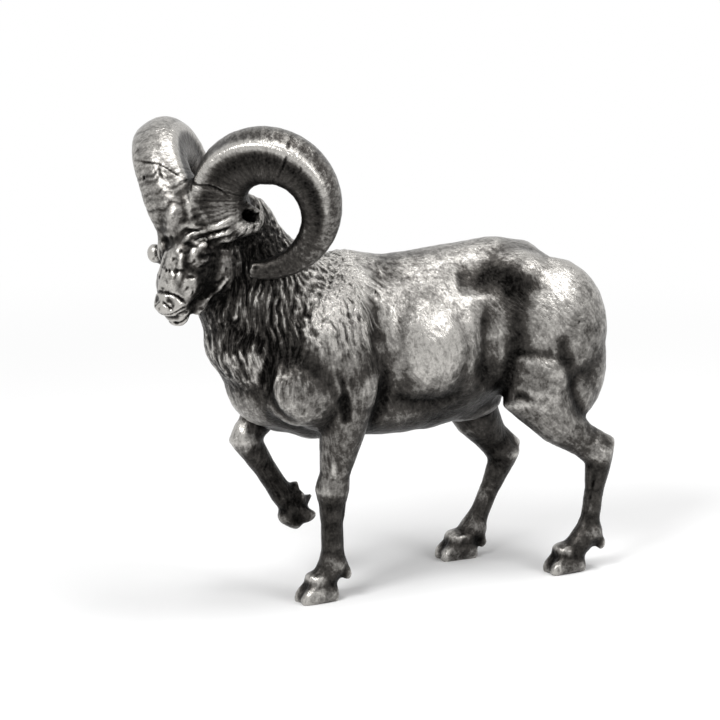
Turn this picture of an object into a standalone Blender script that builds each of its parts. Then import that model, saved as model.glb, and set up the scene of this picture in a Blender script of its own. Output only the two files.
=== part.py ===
"""A cast metal ram in one piece: it walks with its right foreleg raised and its head turned to its left.

The ram faces -X and +Z is up. The origin is on the ground, under the middle of its bounding box.
The form is built as a sculptor builds it: lofted limbs and muscle masses over a skeleton of named joints,
blended into one closed skin, then creased with a few strokes.
"""

import math

import bmesh
import bpy
import numpy as np
from mathutils import Matrix, Vector, kdtree

MM = 0.001

# Trunk
WITHERS_HEIGHT = 73.6 * MM
BACK_HEIGHT = 71.6 * MM
CROUP_HEIGHT = 73.6 * MM
BELLY_HEIGHT = 33.6 * MM
CHEST_FRONT = -31.0 * MM
RUMP_END = 57.0 * MM
BARREL_HALF_WIDTH = 13.6 * MM
CHEST_HALF_WIDTH = 12.0 * MM
HIP_HALF_WIDTH = 12.0 * MM

# Legs
FOREARM_RADIUS = 5.0 * MM
GASKIN_RADIUS = 5.6 * MM
KNEE_RADIUS = 3.3 * MM
HOCK_RADIUS = 3.3 * MM
CANNON_RADIUS = 2.2 * MM
FETLOCK_RADIUS = 2.9 * MM
HOOF_LENGTH = 9.0 * MM
HOOF_WIDTH = 6.1 * MM
HOOF_HEIGHT = 4.6 * MM
SOLE_TRIM = 0.6 * MM

# Head
HEAD_YAW = math.radians(24.4)
HEAD_PITCH = math.radians(65.0)
FACE_LENGTH = 14.4 * MM
FACE_HALF_WIDTH = 5.6 * MM
MUZZLE_HALF_WIDTH = 3.7 * MM
ORBIT_RADIUS = 1.7 * MM
EAR_LENGTH = 7.4 * MM
EAR_RADIUS = 3.2 * MM

# Horns
HORN_OUTER_RADIUS = 15.6 * MM
HORN_BASE_WIDTH = 11.6 * MM
HORN_TIP_WIDTH = 3.4 * MM
HORN_FLARE = 2.4 * MM
HORN_ROOT = 2.8 * MM

# How each horn is set: the left one opens to the side, and the right one lies closer to the neck
LEFT_HORN_PITCH = 5.0 * MM
LEFT_HORN_SWING = math.radians(56.6)
LEFT_HORN_LEAN = math.radians(9.7)
LEFT_HORN_START = math.radians(206.0)
LEFT_HORN_END = math.radians(-104.0)
LEFT_HORN_SETBACK = 12.2 * MM
LEFT_HORN_RISE = 7.1 * MM
LEFT_HORN_SPREAD = 12.9 * MM
RIGHT_HORN_PITCH = 9.4 * MM
RIGHT_HORN_SWING = math.radians(20.0)
RIGHT_HORN_LEAN = math.radians(23.3)
RIGHT_HORN_START = math.radians(206.0)
RIGHT_HORN_END = math.radians(-127.0)
RIGHT_HORN_SETBACK = 12.7 * MM
RIGHT_HORN_RISE = 6.5 * MM
RIGHT_HORN_SPREAD = 12.6 * MM

# Skin
BODY_VOXEL = 1.0 * MM
BODY_ROUNDS = 9
VOXEL = 0.62 * MM
RELAX_ROUNDS = 4
FACE_BUDGET = 11000

RING_POINTS = 24
PEWTER = (0.33, 0.32, 0.31, 1.0)


def point(x, y, z):
    """A place given in millimetres, as a vector in metres."""
    return Vector((x, y, z)) * MM


FOREHEAD = point(-40.2, -4.0, 79.6)
UPRIGHT = Vector((0.0, 0.0, 1.0))


def head_axes():
    """The head's own directions: along the face to the nose, to its left, and out of the forehead."""
    along = Vector(
        (
            -math.cos(HEAD_PITCH) * math.cos(HEAD_YAW),
            -math.cos(HEAD_PITCH) * math.sin(HEAD_YAW),
            -math.sin(HEAD_PITCH),
        )
    )
    left = Vector((math.sin(HEAD_YAW), -math.cos(HEAD_YAW), 0.0))
    return along, left, along.cross(left)


ALONG, LEFT, OUT = head_axes()
AHEAD = LEFT.cross(UPRIGHT)


def on_head(along, left, out):
    """A place on the head, in millimetres along its own directions from the middle of the forehead."""
    return FOREHEAD + (ALONG * along + LEFT * left + OUT * out) * MM


def ring_matrix(centre, tangent, side, half_width, half_depth):
    """Places a unit circle as a cross-section: half_width along side, half_depth across it."""
    tangent = tangent.normalized()
    side = (side - tangent * side.dot(tangent)).normalized()
    across = tangent.cross(side)
    columns = Matrix((side * half_width, across * half_depth, tangent)).transposed()
    return Matrix.Translation(centre) @ columns.to_4x4()


def loft(bm, matrices, square=2.0):
    """A closed tube through the cross-sections: ellipses, or boxier where square is above 2."""
    rings = []
    for matrix in matrices:
        made = bmesh.ops.create_circle(bm, segments=RING_POINTS, radius=1.0)["verts"]
        for vert in made:
            angle = math.atan2(vert.co.y, vert.co.x)
            vert.co /= (abs(math.cos(angle)) ** square + abs(math.sin(angle)) ** square) ** (1 / square)
            vert.co = matrix @ vert.co
        rings.append({edge for vert in made for edge in vert.link_edges})
    for first, second in zip(rings, rings[1:]):
        bmesh.ops.bridge_loops(bm, edges=list(first | second))
    for end in (rings[0], rings[-1]):
        bmesh.ops.contextual_create(bm, geom=list(end))


def limb(bm, stations, side=Vector((0.0, 1.0, 0.0))):
    """A tapered limb through stations of (centre, half width, half depth)."""
    centres = [centre for centre, _, _ in stations]
    matrices = []
    for index, (centre, half_width, half_depth) in enumerate(stations):
        before = centres[max(index - 1, 0)]
        after = centres[min(index + 1, len(centres) - 1)]
        matrices.append(ring_matrix(centre, after - before, side, half_width, half_depth))
    loft(bm, matrices)


def mass(bm, centre, radii, turn=None):
    """An ellipsoid of muscle or bone: radii in millimetres along X, Y and Z, turned by a rotation matrix."""
    turn = (turn or Matrix.Identity(3)).to_4x4()
    matrix = Matrix.Translation(centre) @ turn @ Matrix.Diagonal(Vector(radii) * MM).to_4x4()
    bmesh.ops.create_icosphere(bm, subdivisions=3, radius=1.0, matrix=matrix)


def leaning(degrees):
    """A turn about Y: a positive one carries the top of a mass towards the rump."""
    return Matrix.Rotation(math.radians(degrees), 3, "Y")


def trunk(bm):
    """The trunk from the breast to the rump, with cross-sections as heights of the back and the belly."""
    length = RUMP_END - CHEST_FRONT
    back = WITHERS_HEIGHT
    sections = (
        (0.00, back - 17 * MM, BELLY_HEIGHT + 18 * MM, 0.42 * CHEST_HALF_WIDTH),
        (0.05, back - 12 * MM, BELLY_HEIGHT + 12 * MM, 0.68 * CHEST_HALF_WIDTH),
        (0.13, back - 6 * MM, BELLY_HEIGHT + 4.4 * MM, 0.88 * CHEST_HALF_WIDTH),
        (0.23, back - 1.5 * MM, BELLY_HEIGHT + 0.2 * MM, CHEST_HALF_WIDTH),
        (0.33, back, BELLY_HEIGHT - 0.3 * MM, CHEST_HALF_WIDTH),
        (0.44, BACK_HEIGHT, BELLY_HEIGHT, 0.97 * BARREL_HALF_WIDTH),
        (0.54, BACK_HEIGHT + 0.6 * MM, BELLY_HEIGHT - 0.4 * MM, BARREL_HALF_WIDTH),
        (0.63, CROUP_HEIGHT - 0.8 * MM, BELLY_HEIGHT + 1 * MM, 0.92 * BARREL_HALF_WIDTH),
        (0.73, CROUP_HEIGHT, BELLY_HEIGHT + 5 * MM, 0.95 * HIP_HALF_WIDTH),
        (0.82, CROUP_HEIGHT - 1.6 * MM, BELLY_HEIGHT + 9 * MM, HIP_HALF_WIDTH),
        (0.90, CROUP_HEIGHT - 7 * MM, BELLY_HEIGHT + 11 * MM, 0.90 * HIP_HALF_WIDTH),
        (0.96, CROUP_HEIGHT - 13 * MM, BELLY_HEIGHT + 13 * MM, 0.70 * HIP_HALF_WIDTH),
        (1.00, CROUP_HEIGHT - 18 * MM, BELLY_HEIGHT + 16 * MM, 0.42 * HIP_HALF_WIDTH),
    )
    matrices = []
    for share, top, bottom, half_width in sections:
        centre = Vector((CHEST_FRONT + share * length, 0.0, (top + bottom) / 2))
        axes = Matrix.Diagonal((1.0, half_width, (top - bottom) / 2)).to_4x4()
        turn = Matrix(((0, 0, 1), (1, 0, 0), (0, 1, 0))).to_4x4()
        matrices.append(Matrix.Translation(centre) @ axes @ turn)
    loft(bm, matrices)


def neck(bm):
    """The thick neck, from between the shoulders to the skull."""
    limb(
        bm,
        (
            (point(-9, 0, 54), 11.0 * MM, 17.5 * MM),
            (point(-16, 0, 60), 10.5 * MM, 16.5 * MM),
            (point(-22, 0.2, 67), 8.6 * MM, 13.4 * MM),
            (point(-26, 0.8, 74), 6.6 * MM, 11.4 * MM),
            (point(-28.4, 1.0, 80.8), 5.6 * MM, 10.3 * MM),
            (point(-30.4, 0.6, 84.5), 4.8 * MM, 6.6 * MM),
        ),
    )


def muscles(bm):
    """The masses that stand out of the trunk, on each side."""
    for side in (-1, 1):
        mass(bm, point(-8.5, side * 7.8, 53), (10.4, 6.4, 16.0), leaning(14))
        mass(bm, point(-14.8, side * 9.0, 46.8), (8.4, 5.3, 7.8))
        mass(bm, point(-4.2, side * 9.4, 46.4), (6.2, 4.6, 7.6), leaning(10))
        mass(bm, point(-3.0, side * 5.4, 62), (7.5, 5.6, 9.5), leaning(12))
        mass(bm, point(13.0, side * 5.2, 53), (12.0, 10.2, 13.4), leaning(-8))
        mass(bm, point(36.0, side * 5.2, 66), (9.0, 5.6, 5.6), leaning(6))
        mass(bm, point(43.6, side * 6.6, 54), (13.6, 6.8, 15.6), leaning(-14))
        mass(bm, point(50.0, side * 5.8, 46.6), (7.6, 5.4, 13.4), leaning(-4))
        mass(bm, point(40.6, side * 7.0, 45.5), (10.4, 5.6, 8.4), leaning(20))
        mass(bm, point(47.6, side * 8.4, 41.0), (5.4, 3.6, 8.0), leaning(-22))
    mass(bm, point(-18.0, 0, 47.6), (10.2, 8.8, 10.4))
    mass(bm, point(-24.2, 0, 57.4), (8.7, 7.4, 10.0))
    mass(bm, point(-14.6, 2.4, 40.4), (6.6, 6.0, 5.2))
    mass(bm, point(8, 0, 42), (21.0, 11.0, 8.8))
    mass(bm, point(26, 0, 38.4), (9.5, 5.4, 4.6))


def tail(bm):
    """The short tail, hanging against the rump."""
    limb(
        bm,
        (
            (point(49.6, 0, 65), 2.6 * MM, 2.0 * MM),
            (point(53.4, 0, 60.2), 2.6 * MM, 1.8 * MM),
            (point(55.8, 0, 54.6), 2.2 * MM, 1.6 * MM),
            (point(56.6, 0, 49.4), 1.3 * MM, 1.0 * MM),
        ),
    )


def hoof(bm, toe, heading, fall, size):
    """A cloven hoof whose sole ends at the toe. Heading turns it about Z, and fall tips its toe down."""
    length, tall = HOOF_LENGTH * size, HOOF_HEIGHT * size
    turn = Matrix.Rotation(heading, 4, "Z") @ Matrix.Rotation(-fall, 4, "Y")
    place = Matrix.Translation(toe) @ turn
    half = HOOF_WIDTH / 2 * size
    for side in (-1, 1):
        sections = (
            (0.02, 0.26, 0.44),
            (0.12, 0.46, 0.74),
            (0.30, 0.56, 0.98),
            (0.52, 0.60, 1.10),
            (0.80, 0.58, 1.04),
            (0.98, 0.40, 0.76),
        )
        matrices = []
        for share, width, height in sections:
            rise = tall * height / 2
            centre = Vector((length * share, side * half * 0.47, rise))
            axes = Matrix.Diagonal((1.0, half * width, rise)).to_4x4()
            tube = Matrix(((0, 0, 1), (1, 0, 0), (0, 1, 0))).to_4x4()
            matrices.append(place @ Matrix.Translation(centre) @ axes @ tube)
        loft(bm, matrices)
    for share, rise, radii in ((0.50, 1.16, (2.5, 3.0, 1.7)), (0.72, 1.08, (2.6, 2.9, 2.0))):
        coronet = place @ Vector((length * share, 0.0, tall * rise))
        mass(bm, coronet, [radius * size for radius in radii], turn.to_3x3())


def foreleg(bm, elbow, knee, fetlock, toe, heading, fall=0.0, size=1.0):
    """A foreleg from the elbow to the hoof."""
    limb(
        bm,
        (
            (elbow + point(1, 0, 12), 0.5 * FOREARM_RADIUS, 0.6 * FOREARM_RADIUS),
            (elbow + point(1, 0, 6), 0.92 * FOREARM_RADIUS, 1.25 * FOREARM_RADIUS),
            (elbow, 0.92 * FOREARM_RADIUS, 1.15 * FOREARM_RADIUS),
            (elbow.lerp(knee, 0.45), 0.74 * FOREARM_RADIUS, 0.86 * FOREARM_RADIUS),
            (elbow.lerp(knee, 0.80), 0.9 * KNEE_RADIUS, 0.98 * KNEE_RADIUS),
            (knee, KNEE_RADIUS, 1.12 * KNEE_RADIUS),
            (knee.lerp(fetlock, 0.18), 1.15 * CANNON_RADIUS, 1.35 * CANNON_RADIUS),
            (knee.lerp(fetlock, 0.45), CANNON_RADIUS, 1.12 * CANNON_RADIUS),
            (knee.lerp(fetlock, 0.80), CANNON_RADIUS, 1.12 * CANNON_RADIUS),
            (fetlock, 0.95 * FETLOCK_RADIUS * size, 1.08 * FETLOCK_RADIUS * size),
        ),
    )
    pastern(bm, knee, fetlock, toe, heading, fall, size)


def pastern(bm, above, fetlock, toe, heading, fall, size):
    """The pastern, from the fetlock into the hoof, with the dewclaws behind it, and the hoof."""
    down = (fetlock - above).normalized()
    behind = Vector((0.0, 1.0, 0.0)).cross(down)
    if behind.x < 0:
        behind.negate()
    for side in (-1, 1):
        claw = fetlock + behind * 0.98 * FETLOCK_RADIUS + down * 0.75 * FETLOCK_RADIUS
        claw.y += side * 0.5 * FETLOCK_RADIUS
        mass(bm, claw, (1.0, 0.95, 1.6))
        mass(bm, claw.lerp(fetlock, 0.5), (1.8, 1.3, 2.0))
    swell = FETLOCK_RADIUS / MM * size
    mass(bm, fetlock + behind * 0.1 * FETLOCK_RADIUS, (swell, swell, swell))
    turn = Matrix.Rotation(heading, 4, "Z") @ Matrix.Rotation(-fall, 4, "Y")
    seat = toe + turn @ Vector((HOOF_LENGTH * size * 0.56, 0.0, HOOF_HEIGHT * size * 0.7))
    limb(
        bm,
        (
            (fetlock, 0.95 * FETLOCK_RADIUS * size, FETLOCK_RADIUS * size),
            (fetlock.lerp(seat, 0.5), 0.90 * FETLOCK_RADIUS * size, 0.92 * FETLOCK_RADIUS * size),
            (seat, 0.96 * FETLOCK_RADIUS * size, 1.05 * FETLOCK_RADIUS * size),
        ),
    )
    hoof(bm, toe, heading, fall, size)


def spur(bm, root, end):
    """A short pointed spur of metal on the back of the raised leg."""
    waist = root.lerp(end, 0.6)
    limb(bm, ((root, 1.7 * MM, 1.5 * MM), (waist, 1.1 * MM, 0.9 * MM), (end, 0.5 * MM, 0.5 * MM)))


def hind_leg(bm, stifle, hock, fetlock, toe, heading):
    """A hind leg from the stifle to the hoof, with the point of the hock behind it."""
    limb(
        bm,
        (
            (stifle + point(6, 0, 14), 0.4 * GASKIN_RADIUS, 0.9 * GASKIN_RADIUS),
            (stifle + point(4, 0, 7), 0.84 * GASKIN_RADIUS, 1.6 * GASKIN_RADIUS),
            (stifle + point(2.4, 0, 0.3), 0.92 * GASKIN_RADIUS, 1.42 * GASKIN_RADIUS),
            (stifle.lerp(hock, 0.45), 0.72 * GASKIN_RADIUS, 0.92 * GASKIN_RADIUS),
            (stifle.lerp(hock, 0.80), 0.80 * HOCK_RADIUS, 1.05 * HOCK_RADIUS),
            (hock, 0.92 * HOCK_RADIUS, 1.12 * HOCK_RADIUS),
            (hock.lerp(fetlock, 0.16), 1.05 * CANNON_RADIUS, 1.32 * CANNON_RADIUS),
            (hock.lerp(fetlock, 0.45), 0.85 * CANNON_RADIUS, 0.98 * CANNON_RADIUS),
            (hock.lerp(fetlock, 0.80), 0.85 * CANNON_RADIUS, 0.96 * CANNON_RADIUS),
            (fetlock, 0.92 * FETLOCK_RADIUS, 1.05 * FETLOCK_RADIUS),
        ),
    )
    heel = hock + point(2.2, 0, 2.2)
    limb(
        bm,
        (
            (stifle.lerp(hock, 0.55) + point(1.5, 0, 1.0), 1.2 * MM, 1.6 * MM),
            (heel, 1.7 * MM, 1.8 * MM),
            (hock.lerp(fetlock, 0.12) + point(1.2, 0, 0), 1.5 * MM, 1.4 * MM),
        ),
    )
    pastern(bm, hock, fetlock, toe, heading, 0.0, 1.0)


def legs(bm):
    """Three legs on the ground and the right foreleg raised."""
    foreleg(
        bm,
        point(-5.4, -8.6, 41),
        point(-7.6, -6.8, 24.0),
        point(-7.2, -6.0, 7.8),
        point(-15.2, -6.0, -SOLE_TRIM / MM),
        math.radians(4),
    )
    foreleg(
        bm,
        point(-14.2, 8.6, 42.6),
        point(-20.9, 8.0, 33.0),
        point(-12.4, 7.8, 19.6),
        point(-4.9, 7.8, 15.4),
        math.radians(0),
        math.radians(148),
        0.82,
    )
    mass(bm, point(-20.7, 7.9, 33.4), (3.2, 3.1, 4.3))
    for root, end in (((-10.6, 20.6), (-9.0, 22.4)), ((-8.6, 17.4), (-5.7, 19.4))):
        spur(bm, point(root[0], 7.8, root[1]), point(end[0], 7.8, end[1]))
    hind_leg(
        bm,
        point(37.0, -8.8, 40.0),
        point(54.6, -9.8, 25.6),
        point(52.2, -9.6, 8.4),
        point(42.2, -9.5, -SOLE_TRIM / MM),
        math.radians(6),
    )
    hind_leg(
        bm,
        point(29.0, 8.8, 38.8),
        point(41.8, 10.0, 22.2),
        point(34.2, 10.0, 6.6),
        point(25.4, 10.0, -SOLE_TRIM / MM),
        math.radians(0),
    )


def head(bm):
    """The skull, face, cheeks, orbits, muzzle and jaw, on the head's own directions."""
    turn = Matrix((ALONG, LEFT, OUT)).transposed()
    face = (
        (-0.30, 1.05, 0.0, -13.5),
        (0.0, 1.04, 0.3, -13.5),
        (0.27, 1.0, 0.5, -13.0),
        (0.52, 0.84, 0.3, -10.6),
        (0.78, 0.72, -0.1, -8.6),
        (0.94, 0.66, -0.7, -8.0),
        (1.06, 0.48, -1.6, -7.0),
    )
    matrices = []
    for share, width, top, bottom in face:
        centre = on_head(share * FACE_LENGTH / MM, 0, (top + bottom) / 2)
        depth = (top - bottom) / 2 * MM
        matrices.append(ring_matrix(centre, ALONG, LEFT, width * FACE_HALF_WIDTH, depth))
    loft(bm, matrices)
    mass(bm, on_head(-3.5, 0, -8.0), (8.0, 6.6, 7.6), turn)
    mass(bm, beside_head(3.4, -1.4, 4.4), (6.6, 3.6, 5.0), turn)
    muzzle = FACE_LENGTH / MM
    wide = MUZZLE_HALF_WIDTH / MM
    mass(bm, on_head(muzzle - 1.2, 0, -3.0), (2.5, wide, 2.6), turn)
    mass(bm, on_head(muzzle + 0.2, 0, -6.4), (2.2, 0.74 * wide, 1.8), turn)
    for side in (-1, 1):
        mass(bm, on_head(1.6, side * 4.2, -11.4), (6.4, 3.3, 5.8), turn)
        mass(bm, on_head(8.0, side * 2.2, -9.0), (5.6, 2.0, 2.6), turn)
        mass(bm, on_head(2.2, side * 4.3, -2.6), (3.0, ORBIT_RADIUS / MM, 2.6), turn)
        mass(bm, on_head(7.6, side * 3.4, -3.6), (4.0, 1.6, 2.4), turn)
        ear(bm, side)


def beside_head(back, left, rise):
    """A place in millimetres behind, left of and above the middle of the forehead, along the level head."""
    return FOREHEAD + (LEFT * left + UPRIGHT * rise - AHEAD * back) * MM


def ear(bm, side):
    """A small ear, standing out behind the horn."""
    root = beside_head(8.0, side * 6.4, 2.4)
    reach = (LEFT * side * 0.62 - AHEAD * 0.76 + UPRIGHT * 0.2).normalized() * EAR_LENGTH
    limb(
        bm,
        (
            (root, 0.7 * EAR_RADIUS, 0.7 * EAR_RADIUS),
            (root + 0.35 * reach, EAR_RADIUS, 0.9 * EAR_RADIUS),
            (root + 0.72 * reach, 0.95 * EAR_RADIUS, 0.7 * EAR_RADIUS),
            (root + reach, 0.3 * EAR_RADIUS, 0.25 * EAR_RADIUS),
        ),
        side=UPRIGHT,
    )


def horn_axes(side, swing, lean):
    """A horn's plane: its outward normal, and the directions backwards and upwards in the plane."""
    outward = LEFT * side * math.cos(swing) + AHEAD * math.sin(swing)
    normal = outward * math.cos(lean) - UPRIGHT * math.sin(lean)
    back = UPRIGHT.cross(normal).normalized() * side
    return normal, back, normal.cross(back) * side


def horn_width(share):
    """The horn's width in its plane: nearly constant over the first half, then tapering to the tip."""
    taper = max(0.0, (share - 0.37) / 0.63)
    return HORN_BASE_WIDTH + (HORN_TIP_WIDTH - HORN_BASE_WIDTH) * taper ** 1.4


def horn(bm, side, centre, swing, lean, pitch, start, end):
    """A horn that rises from its root and curls back, down and forward round its hole, drifting outwards."""
    normal, back, upward = horn_axes(side, swing, lean)
    steps = 32

    def spoke(angle):
        return back * math.cos(angle) + upward * math.sin(angle)

    matrices = []
    for step in range(steps + 1):
        share = step / steps
        angle = start + (end - start) * share
        flare = HORN_FLARE * max(0.0, 1 - share / 0.13)
        width = horn_width(share) + flare
        radius = HORN_OUTER_RADIUS + flare - width / 2
        drift = normal * pitch * (share - 0.5)
        tangent = back * math.sin(angle) - upward * math.cos(angle)
        place = centre + spoke(angle) * radius + drift
        thick = 0.84 * width + 0.3 * MM
        if step == 0:
            root = place - upward * HORN_ROOT - back * 0.5 * HORN_ROOT
            matrices.append(ring_matrix(root, upward, -back, 0.44 * width, thick / 2))
        matrices.append(ring_matrix(place, tangent, spoke(angle), width / 2, thick / 2))
    loft(bm, matrices, square=2.6)


def relax(mesh, rounds):
    """Smooths the skin without shrinking it: each round pulls the points together, then lets them back."""
    count = len(mesh.vertices)
    places = np.empty(count * 3)
    mesh.vertices.foreach_get("co", places)
    places = places.reshape(count, 3)
    ends = np.empty(len(mesh.edges) * 2, dtype=np.int32)
    mesh.edges.foreach_get("vertices", ends)
    first, second = ends.reshape(-1, 2).T
    valence = np.bincount(ends, minlength=count)[:, None]
    for factor in (0.6, -0.62) * round(rounds):
        total = np.zeros_like(places)
        np.add.at(total, first, places[second])
        np.add.at(total, second, places[first])
        places += factor * (total / valence - places)
    mesh.vertices.foreach_set("co", places.ravel())
    mesh.update()


def along_path(stops, spacing=0.3 * MM):
    """Points closely spaced along a smooth path through the stops."""
    stops = [stops[0], *stops, stops[-1]]
    path = []
    for before, start, end, after in zip(stops, stops[1:], stops[2:], stops[3:]):
        steps = max(2, math.ceil((end - start).length / spacing))
        for step in range(steps):
            t = step / steps
            bend = 2 * start - 5 * start * t * t + 3 * start * t ** 3 + (end - before) * t
            bend += (2 * before + 4 * end - after) * t * t + (after - before - 3 * end) * t ** 3
            path.append(bend / 2)
    return path


def stroke(mesh, stops, width, depth):
    """Presses a groove of a width and depth into the skin along a path; a negative depth raises a ridge."""
    path = along_path(stops)
    tree = kdtree.KDTree(len(path))
    for index, place in enumerate(path):
        tree.insert(place, index)
    tree.balance()
    moves = []
    for vert in mesh.vertices:
        _, index, distance = tree.find(vert.co)
        if distance < width:
            ends = min(1.0, 4 * (index + 1) / len(path), 4 * (len(path) - index) / len(path))
            fall = (1 - (distance / width) ** 2) ** 2
            moves.append((vert, vert.normal.copy() * depth * fall * ends))
    for vert, move in moves:
        vert.co -= move


def flanks(mesh, side):
    """The grooves and hollows that part the muscles from each other on one side of the body."""

    def press(width, depth, *places):
        stroke(mesh, [point(x, side * y, z) for x, y, z in places], width * MM, depth * MM)

    press(2.6, 1.0, (-1, 9.6, 67), (0.6, 12, 58.5), (2.4, 12, 50), (1.8, 11, 43), (0.4, 9, 38))
    press(2.4, 0.8, (-20.6, 9.4, 58), (-23, 9, 51), (-22, 10, 44.6), (-17, 11.4, 39.8))
    press(1.8, 0.7, (-8.4, 13.6, 46), (-7.4, 13.2, 42.6), (-7, 12.6, 39.2))
    press(4.4, 1.1, (26, 10, 62.4), (25.6, 11.4, 56), (25.8, 11.4, 49), (27, 10.6, 43))
    press(2.4, 0.6, (4, 11.6, 43.8), (9, 11.6, 42.2), (15.4, 11.6, 41.8), (21, 11.4, 43.6))
    press(5.0, 0.9, (20, 8.8, 67.4), (25, 9.4, 66.4), (28.6, 9.4, 65))
    press(1.8, 0.6, (33.4, 11.4, 41.6), (37, 12.4, 39.8), (40, 12.8, 40.4))
    press(2.4, 0.5, (42.6, 13.4, 54), (44.6, 12.8, 47), (46.6, 11.4, 41.6))


def features(mesh, side):
    """The folds, eye, cheek, nostril and ear on one side of the head."""

    def press(width, depth, *places):
        stops = [on_head(along, side * left, out) for along, left, out in places]
        stroke(mesh, stops, width * MM, depth * MM)

    press(1.1, -0.9, (0.4, 1.2, 0.3), (-0.9, 3.4, -0.4), (-2.2, 5.4, -1.6), (-3.4, 7.2, -3.6))
    press(1.1, -0.9, (1.2, 4.4, -1.0), (-0.2, 6.0, -2.6), (-1.4, 7.0, -4.6), (-2.4, 7.6, -7.0))
    press(1.0, 0.5, (2.6, 4.4, -1.2), (2.6, 6.0, -2.4), (2.2, 6.6, -4.6))
    press(1.3, 0.7, (13.0, 3.4, -5.0), (10.0, 4.2, -7.6), (7.6, 5.0, -9.6))
    press(1.0, 0.7, (12.8, 1.6, -0.6), (13.6, 2.6, -1.6))
    press(0.9, 0.7, (15.4, 0.0, -4.2), (14.8, 2.4, -4.2), (13.0, 3.8, -5.0))
    press(2.3, 2.2, (-7.5, 9.9, -7.1), (-8.1, 10.6, -8.9))


def evaluated_mesh(obj):
    """The object's mesh with its modifiers applied, as new data."""
    graph = bpy.context.evaluated_depsgraph_get()
    return bpy.data.meshes.new_from_object(obj.evaluated_get(graph))


def blend(obj, voxel, rounds):
    """Blends the object's overlapping masses into one closed skin and smooths it."""
    remesh = obj.modifiers.new("blend", "REMESH")
    remesh.mode = "VOXEL"
    remesh.voxel_size = voxel
    obj.data = evaluated_mesh(obj)
    obj.modifiers.clear()
    relax(obj.data, rounds)


def lighten(obj):
    """Thins the skin to at most FACE_BUDGET triangles."""
    thin = obj.modifiers.new("thin", "DECIMATE")
    thin.use_collapse_triangulate = True
    obj.data.calc_loop_triangles()
    thin.ratio = min(1.0, FACE_BUDGET / len(obj.data.loop_triangles))
    obj.data = evaluated_mesh(obj)
    obj.modifiers.clear()


def stand(obj):
    """Cuts the soles flat on the ground, and moves the object so that its box is centred over the origin."""
    bm = bmesh.new()
    bm.from_mesh(obj.data)
    everything = bm.verts[:] + bm.edges[:] + bm.faces[:]
    ground = {"plane_co": (0, 0, 0), "plane_no": (0, 0, -1)}
    cut = bmesh.ops.bisect_plane(bm, geom=everything, clear_outer=True, **ground)
    rim = [item for item in cut["geom_cut"] if isinstance(item, bmesh.types.BMEdge)]
    bmesh.ops.holes_fill(bm, edges=rim, sides=0)
    bmesh.ops.remove_doubles(bm, verts=bm.verts, dist=0.02 * MM)
    bmesh.ops.triangulate(bm, faces=bm.faces)
    bm.to_mesh(obj.data)
    bm.free()
    corners = np.array([vert.co for vert in obj.data.vertices])
    middle = (corners.min(axis=0) + corners.max(axis=0)) / 2
    obj.location = (-middle[0], -middle[1], 0)


def pewter():
    """Oxidised pewter, bright on the high places."""
    material = bpy.data.materials.new("oxidised_pewter")
    material.use_nodes = True
    shader = material.node_tree.nodes["Principled BSDF"]
    shader.inputs["Base Color"].default_value = PEWTER
    shader.inputs["Metallic"].default_value = 1.0
    shader.inputs["Roughness"].default_value = 0.38
    return material


def modelled(name, makers):
    """An object with the forms of some makers, each a function that adds to a mesh."""
    bm = bmesh.new()
    for maker in makers:
        maker(bm)
    bmesh.ops.recalc_face_normals(bm, faces=bm.faces)
    mesh = bpy.data.meshes.new(name)
    bm.to_mesh(mesh)
    bm.free()
    obj = bpy.data.objects.new(name, mesh)
    bpy.context.scene.collection.objects.link(obj)
    return obj


def horns(bm):
    """Both horns, each on its own side of the head."""
    horn(
        bm,
        1,
        FOREHEAD - AHEAD * LEFT_HORN_SETBACK + LEFT * LEFT_HORN_SPREAD + UPRIGHT * LEFT_HORN_RISE,
        LEFT_HORN_SWING,
        LEFT_HORN_LEAN,
        LEFT_HORN_PITCH,
        LEFT_HORN_START,
        LEFT_HORN_END,
    )
    horn(
        bm,
        -1,
        FOREHEAD - AHEAD * RIGHT_HORN_SETBACK - LEFT * RIGHT_HORN_SPREAD + UPRIGHT * RIGHT_HORN_RISE,
        RIGHT_HORN_SWING,
        RIGHT_HORN_LEAN,
        RIGHT_HORN_PITCH,
        RIGHT_HORN_START,
        RIGHT_HORN_END,
    )


def main():
    for obj in list(bpy.data.objects):
        bpy.data.objects.remove(obj)
    body = modelled("body", (trunk, neck, muscles))
    blend(body, BODY_VOXEL, BODY_ROUNDS)
    ram = modelled("ram", (tail, legs, head, horns))
    with bpy.context.temp_override(active_object=ram, selected_editable_objects=[ram, body]):
        bpy.ops.object.join()
    blend(ram, VOXEL, RELAX_ROUNDS)
    for side in (-1, 1):
        flanks(ram.data, side)
        features(ram.data, side)
    lighten(ram)
    stand(ram)
    parts = bpy.data.collections.new("ram_statue")
    bpy.context.scene.collection.children.link(parts)
    parts.objects.link(ram)
    bpy.context.scene.collection.objects.unlink(ram)
    ram.data.materials.clear()
    ram.data.materials.append(pewter())
    ram.data.shade_smooth()


main()
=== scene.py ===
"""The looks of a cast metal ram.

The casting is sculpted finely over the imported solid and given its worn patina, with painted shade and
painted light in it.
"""

import math

import bmesh
import bpy
import numpy as np
from bpy.props import FloatProperty, FloatVectorProperty, IntProperty, PointerProperty
from mathutils import Matrix, Vector, noise
from mathutils.bvhtree import BVHTree
from mathutils.kdtree import KDTree


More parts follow.
